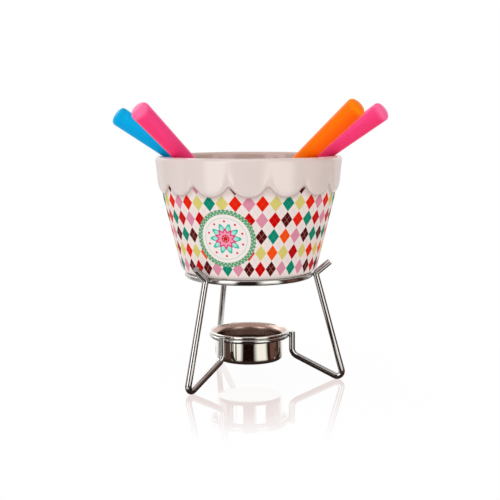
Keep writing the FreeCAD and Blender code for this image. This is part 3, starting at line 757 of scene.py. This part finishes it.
def cup_profile():
    """Profile of the drawn cup, up its outside, round the beaded edge and down inside to the
    raised middle of its floor. Then the point inside where the bead ends."""
    low, high = CUP_LOW.z, CUP_HIGH.z
    bead_r = CUP_HIGH.x - BEAD_RADIUS
    bead_z = high - BEAD_RADIUS
    neck = low + NECK_RISE
    profile = [(0, low), (7, low), (14, low)]
    profile += arc((CUP_RADIUS - CUP_ROUND, low + CUP_ROUND), CUP_ROUND, -90, 0, 10)
    profile += straight((CUP_RADIUS, low + CUP_ROUND), (CUP_RADIUS, neck - NECK_BEND), 6)
    turn = 90 - FLARE_ANGLE
    bend_z = neck - NECK_BEND * math.tan(math.radians(turn / 2))
    profile += arc((CUP_RADIUS + NECK_BEND, bend_z), NECK_BEND, 180, 180 - turn, 6)
    profile += arc((bead_r, bead_z), BEAD_RADIUS, BEAD_FROM, BEAD_TO, 18)
    edge = (bead_r - BEAD_RADIUS * 1.05, bead_z + BEAD_TUCK)
    inner = CUP_RADIUS - CUP_SHEET
    fall = (edge[0] - inner - NECK_LEDGE) * math.tan(math.radians(FLARE_ANGLE))
    neck_in = edge[1] - fall
    profile += [edge]
    profile += straight(edge, (inner + NECK_LEDGE, neck_in), 4)
    profile += [(inner + NECK_LEDGE, neck_in), (inner + 0.18, neck_in - 0.55)]
    profile += [(inner, neck_in - NECK_EASE)]
    profile += straight((inner, neck_in - NECK_EASE), (inner, low + CUP_ROUND), 6)
    inner_round = CUP_ROUND - CUP_SHEET
    profile += arc((CUP_RADIUS - CUP_ROUND, low + CUP_ROUND), inner_round, 0, -90, 8)
    floor = low + CUP_SHEET
    profile += [(PRESSED_RADIUS + 2, floor), (PRESSED_RADIUS + 1.3, floor)]
    profile += [(PRESSED_RADIUS, floor + PRESSED_RISE), (0, floor + PRESSED_RISE)]
    return profile, edge


def make_burner_cup(polished, satin):
    """The cup, polished outside and satin inside."""
    profile, edge = cup_profile()
    piece = lathe("burner_cup_drawn", profile, polished, "burner_cup", sides=CUP_SIDES)
    piece.data.materials.append(satin)
    rolled, underside = profile.index(edge), len(profile) - 3
    for number, face in enumerate(piece.data.polygons):
        row = number // CUP_SIDES
        if row >= rolled - 1 and row != underside:
            face.material_index = 1
    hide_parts("burner_cup")


# -------------------------------------------------------------------- tea light
CASE_SHEET, CASE_ROUND, CASE_ROLL = 0.4, 1.0, 0.35
FLUTES, FLUTE_DEPTH, FLUTED_FROM, FLUTED_TO = 45, 0.12, 0.12, 0.93
WAX_GAP, WAX_DIP = 0.25, 0.35
DRAWN_UP, DRAWN_REACH = 0.25, 0.12
# The wick leans and thins above these shares of its height.
WICK_LEAN, LEAN_FROM = 0.2, 0.6
WICK_THICKNESS, WICK_WEAR, WEAR_FROM = 0.92, 0.25, 0.85
WICK_STRANDS, WICK_TWIST, WICK_RIB = 3, 9, 0.1


def make_case(material):
    """The foil case, with flutes pressed into its side."""
    low, high = corners("tealight_cup")
    radius = high.x
    profile = [(0, low.z), (radius - 1.6, low.z)]
    profile += arc((radius - CASE_ROUND, low.z + CASE_ROUND), CASE_ROUND, -80, 0, 6)
    profile += straight(profile[-1], (radius - 0.15, high.z - 0.6), 5)
    profile += arc((radius - CASE_ROLL, high.z - CASE_ROLL), CASE_ROLL, -10, 170, 8)
    profile += [(radius - 0.75, high.z - 0.9), (radius - CASE_SHEET - 0.4, low.z + 1.2)]
    profile += [(radius - 2.0, low.z + CASE_SHEET), (0, low.z + CASE_SHEET)]
    piece = lathe("tealight_case", profile, material, "tealight", sides=180)
    for vertex in piece.data.vertices:
        reach = math.hypot(vertex.co.x, vertex.co.y) / MM
        share = (vertex.co.z / MM - low.z) / (high.z - low.z)
        if reach > radius - 1.2 and FLUTED_FROM < share < FLUTED_TO:
            wave = math.cos(math.atan2(vertex.co.y, vertex.co.x) * FLUTES)
            pull = 1 + (wave * FLUTE_DEPTH - FLUTE_DEPTH) / reach
            vertex.co.x *= pull
            vertex.co.y *= pull
    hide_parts("tealight_cup")


def make_wax(material):
    """The poured wax, dipped in its middle and drawn up a little by the wick."""
    low, high = corners("tealight_wax")
    edge = high.x - WAX_GAP
    profile = [(0, low.z), (edge * 0.6, low.z), (edge - 0.4, low.z), (edge, low.z + 0.4)]
    for share in (1.0, 0.985, 0.95, 0.88, 0.75, 0.55, 0.35, 0.18, 0.1, 0.0):
        drawn_up = DRAWN_UP * math.exp(-(share / DRAWN_REACH) ** 2)
        profile.append((edge * share, high.z - WAX_DIP * (1 - share ** 8) + drawn_up))
    piece = lathe("tealight_wax_poured", profile, material, "tealight", sides=128)
    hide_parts("tealight_wax")


def make_wick(material):
    """A braided wick that leans over and thins towards its tip."""
    low, high = corners("tealight_wick")
    rings, sides = 16, 12
    vertices = []
    for ring in range(rings):
        share = ring / (rings - 1)
        height = low.z + (high.z - low.z) * share
        lean = WICK_LEAN * (max(share - LEAN_FROM, 0) / (1 - LEAN_FROM)) ** 2
        worn = max(share - WEAR_FROM, 0) / (1 - WEAR_FROM)
        thick = high.x * (WICK_THICKNESS - WICK_WEAR * worn)
        for side in range(sides):
            angle = 2 * math.pi * side / sides
            rib = thick * (1 + WICK_RIB * math.cos(WICK_STRANDS * (angle + share * WICK_TWIST)))
            vertices.append((rib * math.cos(angle) + lean, rib * math.sin(angle), height))
    faces = ring_faces(rings, sides) + end_faces(vertices, sides)
    piece = new_object("tealight_wick_braid", vertices, faces, material, "tealight")
    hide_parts("tealight_wick")


# ------------------------------------------------------------------------- forks
FORKS = {"blue": "blue_plastic", "pink_left": "pink_plastic",
         "orange": "orange_plastic", "pink_right": "pink_plastic"}
NECK_RADIUS, NECK_ROUND, END_RADIUS = 4.7, 1.0, 6.6
STEM_HOLE_DEPTH, STEM_HOLE_RADIUS = 0.6, 2.0
HANDLE_DOME, END_FULLNESS, END_ROWS = 4.0, 2.5, 20


def fork_place(name):
    """A fork's own frame, Z along the fork from its points and X across its tines, and where its
    handle starts and ends on Z, in millimetres."""
    joint = next(j for j in frame["joints"] if j["name"] == f"fork_{name}_pull")
    way = Vector(joint["axis"]).normalized()
    across = Vector((-way.y, way.x, 0)).normalized()
    side = way.cross(across)
    handle = [v.co / MM for v in frame["nodes"][f"fork_{name}_handle"].data.vertices]
    tines = [v.co / MM for v in frame["nodes"][f"fork_{name}_tines"].data.vertices]
    middle = Vector()
    for axis in (across, side):
        spread = [p.dot(axis) for p in handle]
        middle += axis * (min(spread) + max(spread)) / 2
    start = min(p.dot(way) for p in tines)
    place = Matrix((across, side, way)).transposed().to_4x4()
    place.translation = middle + way * start
    reach = [p.dot(way) for p in handle]
    return place, min(reach) - start, max(reach) - start


HANDLE_END = fork_place("blue")[2]


def make_handle(name, plastic):
    """A tapered handle with a full, rounded end, and a shallow hole round the fork's stem."""
    place, neck, end = fork_place(name)
    length = end - HANDLE_DOME
    hole = neck + STEM_HOLE_DEPTH
    profile = [(0, hole), (STEM_HOLE_RADIUS - 0.5, hole)]
    profile += [(STEM_HOLE_RADIUS - 0.3, neck + 0.15), (STEM_HOLE_RADIUS, neck)]
    profile += arc((NECK_RADIUS - NECK_ROUND, neck + NECK_ROUND), NECK_ROUND, -90, 0, 6)
    profile += straight((NECK_RADIUS, neck + NECK_ROUND), (END_RADIUS, length), 24)
    for number in range(END_ROWS):
        angle = math.pi / 2 * number / END_ROWS
        out, up = math.cos(angle) ** (2 / END_FULLNESS), math.sin(angle) ** (2 / END_FULLNESS)
        profile.append((END_RADIUS * out, length + HANDLE_DOME * up))
    profile.append((0, end))
    piece = lathe(f"fork_{name}_handle_moulded", profile, plastic, f"fork_{name}",
                  sides=96, place=place)
    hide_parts(f"fork_{name}_handle")


# ------------------------------------------------------------------------- build
def paint(node, material):
    """Give a CAD node a material and smooth shading."""
    data = frame["nodes"][node].data
    data.materials.clear()
    data.materials.append(material)
    data.polygons.foreach_set("use_smooth", [True] * len(data.polygons))


def paint_wires_and_tines():
    wire = polished_metal("chrome_wire", srgb(205, 204, 204), 0.12, (1.0, 1.0, 0.15)).owner
    steel = polished_metal("fork_steel", srgb(205, 204, 203), 0.16, (1.0, 1.0, 0.3)).owner
    for node in ("pot_ring", "burner_ring", "leg_front_left", "leg_right", "leg_back"):
        paint(node, wire)
    for name in FORKS:
        paint(f"fork_{name}_tines", steel)


def make_handles():
    """Each plastic has its colour, its painted shade underneath, the painted light or shade of its
    rounded end and its gloss.
    """
    blue = moulded_plastic("blue_plastic", srgb(0, 184, 246), srgb(0, 162, 222),
                           srgb(0, 168, 224), 0.06)
    pink = moulded_plastic("pink_plastic", srgb(255, 68, 139), srgb(250, 48, 112),
                           srgb(255, 104, 158), 0.2)
    orange = moulded_plastic("orange_plastic", srgb(255, 117, 0), srgb(255, 86, 0),
                             srgb(255, 128, 4), 0.06)
    for name, plastic in zip(FORKS, (blue, pink, orange, pink)):
        make_handle(name, plastic)


def build_object():
    paint_wires_and_tines()
    bright_foil = foil()
    paint("wick_sustainer", bright_foil)
    outside = glazed_ceramic("glazed_ceramic", CERAMIC)
    # The inside glaze is the plain glaze darkened: painted shade.
    inside = glazed_ceramic("shaded_inside_glaze", SHADED_INSIDE_GLAZE)
    make_pot(outside, printed_ceramic(), inside, bare_clay())
    polished = polished_metal("polished_steel", srgb(246, 242, 236), 0.05, (1.0, 1.0, 0.2),
                              waviness=0.2)
    make_burner_cup(polished.owner, satin_steel())
    make_case(bright_foil)
    make_wax(wax())
    make_wick(braid())
    make_handles()


# ------------------------------------------------------------------------ studio
# Lengths in the studio are metres, apart from the camera's lens and sensor in millimetres.
WHITE = (1.0, 1.0, 1.0, 1.0)
WARM_SIDE = srgb(236, 222, 214)
WORLD_LIGHT = 0.7
CEILING, CEILING_FROM = srgb(176, 168, 164), (0.55, 0.75)

TABLE_HALF = 6.0
FLOOR_GLOW, GLOW_REACH = 0.94, (0.05, 0.22)
FLOOR_GLOSS, GLOSS_REACH = 0.29, (0.165, 0.07)
SHEEN_WARMTH = (0.34, 0.06, 0.0)
SHADE_NEAR, SHADE_REACH, SHADE_BACK = srgb(48, 34, 30), (0.068, 0.084), (0.0, 0.03)
ROOM_REACH, ROOM_SIDES = (0.42, 0.46), (-0.1, 0.1)
SOFT_BOX_GLARE, BACKDROP_LEVEL = 2.2, 0.7
ROOM_CARDS = (  # what stands round the table: from and to, in degrees to the right of the front
    (-180, -132, srgb(252, 251, 250)),
    (-124, -90, srgb(188, 182, 178)),
    (-84, -57, srgb(80, 60, 52)),
    (-49, -29, srgb(252, 250, 245)),
    (-19, 12, srgb(22, 5, 3)),
    (25, 50, srgb(253, 251, 242)),
    (59, 65, srgb(40, 16, 8)),
    (71, 90, srgb(103, 72, 61)),
    (98, 106, srgb(64, 42, 35)),
    (116, 124, srgb(150, 142, 136)),
    (134, 180, srgb(252, 251, 250)),
)

LIT_MIDDLE = Vector((0, 0, 0.11))
SOFT_BOXES = (  # name, azimuth, elevation, distance, width and height, and brightness
    ("soft_box_left", 230, 22, 1.2, (0.66, 1.0), 1.45),
    ("soft_box_right", 310, 22, 1.2, (0.66, 1.0), 0.75),
    ("soft_box_top", 270, 78, 1.3, (1.0, 0.8), 0.8),
    ("soft_box_back", 138, 36, 1.2, (0.7, 0.7), 2.0),
)

CAMERA_PLACE = Vector((0, -0.72705, 0.18394))
CAMERA_YAW, CAMERA_PITCH, CAMERA_ROLL = 0.05, 7.41, 0.24
CAMERA_LENS, SENSOR_WIDTH = 76.26, 36


def surroundings(graph, x, y):
    """What shiny surfaces mirror, by the azimuth of a direction or place: a dark room in front
    between tall soft boxes, brown curtains at the sides and a pale backdrop."""
    turn = graph.calc("ARCTAN2", x, graph.calc("MULTIPLY", y, -1.0))
    share = graph.calc("ADD", graph.calc("DIVIDE", turn, 2 * math.pi), 0.5)
    ramp = graph.node("ValToRGB", {"Fac": share})
    stops = ramp.color_ramp.elements
    while len(stops) < 2 * len(ROOM_CARDS):
        stops.new(1.0)
    edges = [(edge, colour) for start, end, colour in ROOM_CARDS for edge in (start, end)]
    for stop, (edge, colour) in zip(stops, edges):
        stop.position = edge / 360 + 0.5
        stop.color = colour
    return ramp.outputs["Color"]


def make_world():
    """Soft light from all round. Glossy rays see the surroundings instead, and the camera sees
    plain white, as do rays that the floor's perfectly smooth gloss sends on."""
    world = bpy.data.worlds.new("studio")
    bpy.context.scene.world = world
    graph = Graph(world)
    rays = graph.node("LightPath").outputs
    x, y, z = graph.split(graph.node("TexCoord").outputs["Generated"])
    mirrored = graph.mix(graph.step(z, *CEILING_FROM), surroundings(graph, x, y), CEILING)
    light = graph.mix(graph.step(x, -0.2, 0.8), WHITE, WARM_SIDE)
    colour = graph.mix(rays["Is Glossy Ray"], light, mirrored)
    plain = graph.calc("MAXIMUM", rays["Is Camera Ray"], rays["Is Transmission Ray"])
    plain = graph.calc("MAXIMUM", plain, rays["Is Singular Ray"])
    seen = graph.calc("MAXIMUM", plain, rays["Is Glossy Ray"])
    background = graph.tree.nodes["Background"]
    graph.put(background.inputs["Color"], graph.mix(plain, colour, WHITE))
    graph.put(background.inputs["Strength"], graph.spread(seen, WORLD_LIGHT, 1.0))


def table_top(graph, reach):
    """White, glowing further out so that it joins the background, with a faint gloss round the
    object. The gloss is tinted, and a warm glow makes up for its tint."""
    glow = graph.spread(graph.step(reach, *GLOW_REACH), FLOOR_GLOW, 1.0)
    lit = graph.blend(glow, graph.shader.outputs[0], graph.emission(WHITE))
    cool = tuple(1.0 - level for level in SHEEN_WARMTH)
    gloss = graph.node("BsdfGlossy", {"Color": (*cool, 1.0), "Roughness": 0.0}).outputs[0]
    warm = graph.emission((*SHEEN_WARMTH, 1.0))
    sheen = graph.node("AddShader", {0: warm, 1: gloss}).outputs[0]
    share = graph.calc("MULTIPLY", graph.step(reach, *GLOSS_REACH), FLOOR_GLOSS)
    return graph.blend(share, lit, sheen)


def mirrored_floor(graph, x, y, reach):
    """The floor as shiny surfaces mirror it: shaded near the object in front, and lit like the
    room."""
    bright = graph.calc("MAXIMUM", graph.step(reach, *SHADE_REACH), graph.step(y, *SHADE_BACK))
    colour = graph.mix(bright, SHADE_NEAR, surroundings(graph, x, y))
    far = graph.spread(graph.step(y, *ROOM_SIDES), SOFT_BOX_GLARE, BACKDROP_LEVEL)
    return graph.emission(colour, graph.spread(graph.step(reach, *ROOM_REACH), 1.0, far))


def make_floor():
    """A white table, which shiny surfaces mirror as part of the room."""
    graph = Graph(new_material("table_white"), Base_Color=WHITE, Roughness=0.9,
                  Specular_IOR_Level=0.0)
    x, y, _ = graph.split(graph.place())
    reach = graph.length(x, y)
    glossy = graph.node("LightPath").outputs["Is Glossy Ray"]
    surface = graph.blend(glossy, table_top(graph, reach), mirrored_floor(graph, x, y, reach))
    graph.put(graph.tree.nodes["Material Output"].inputs["Surface"], surface)
    mesh = bpy.data.meshes.new("table")
    sides = ((-1, -1), (1, -1), (1, 1), (-1, 1))
    mesh.from_pydata([(TABLE_HALF * x, TABLE_HALF * y, 0) for x, y in sides], [], [(0, 1, 2, 3)])
    mesh.materials.append(graph.owner)
    table = bpy.data.objects.new("table", mesh)
    bpy.context.scene.collection.objects.link(table)


def area_light(name, azimuth, elevation, distance, size, level):
    """A soft box that faces the pot. level is its brightness, where 1 is white."""
    turn, lift = math.radians(azimuth), math.radians(elevation)
    way = Vector((math.cos(turn) * math.cos(lift), math.sin(turn) * math.cos(lift), math.sin(lift)))
    lamp = bpy.data.lights.new(name, "AREA")
    lamp.shape = "RECTANGLE"
    lamp.size, lamp.size_y = size
    lamp.energy = level * math.pi * size[0] * size[1]
    light = bpy.data.objects.new(name, lamp)
    light.location = LIT_MIDDLE + way * distance
    light.rotation_euler = (-way).to_track_quat("-Z", "Y").to_euler()
    bpy.context.scene.collection.objects.link(light)


def make_camera():
    yaw, pitch, roll = (math.radians(a) for a in (CAMERA_YAW, CAMERA_PITCH, CAMERA_ROLL))
    flat = math.cos(pitch)
    forward = Vector((math.sin(yaw) * flat, math.cos(yaw) * flat, -math.sin(pitch)))
    level = Vector((math.cos(yaw), -math.sin(yaw), 0))
    up = level.cross(forward)
    right = level * math.cos(roll) - up * math.sin(roll)
    up = right.cross(forward)
    camera = bpy.data.objects.new("camera", bpy.data.cameras.new("camera"))
    camera.data.lens = CAMERA_LENS
    camera.data.sensor_width = SENSOR_WIDTH
    camera.data.clip_start = 0.01
    turned = Matrix((right, up, -forward)).transposed().to_4x4()
    camera.matrix_world = Matrix.Translation(CAMERA_PLACE) @ turned
    bpy.context.scene.collection.objects.link(camera)
    bpy.context.scene.camera = camera


def build_studio():
    make_camera()
    make_world()
    make_floor()
    for soft_box in SOFT_BOXES:
        area_light(*soft_box)


build_object()
build_studio()
bpy.context.scene.view_settings.view_transform = "Standard"
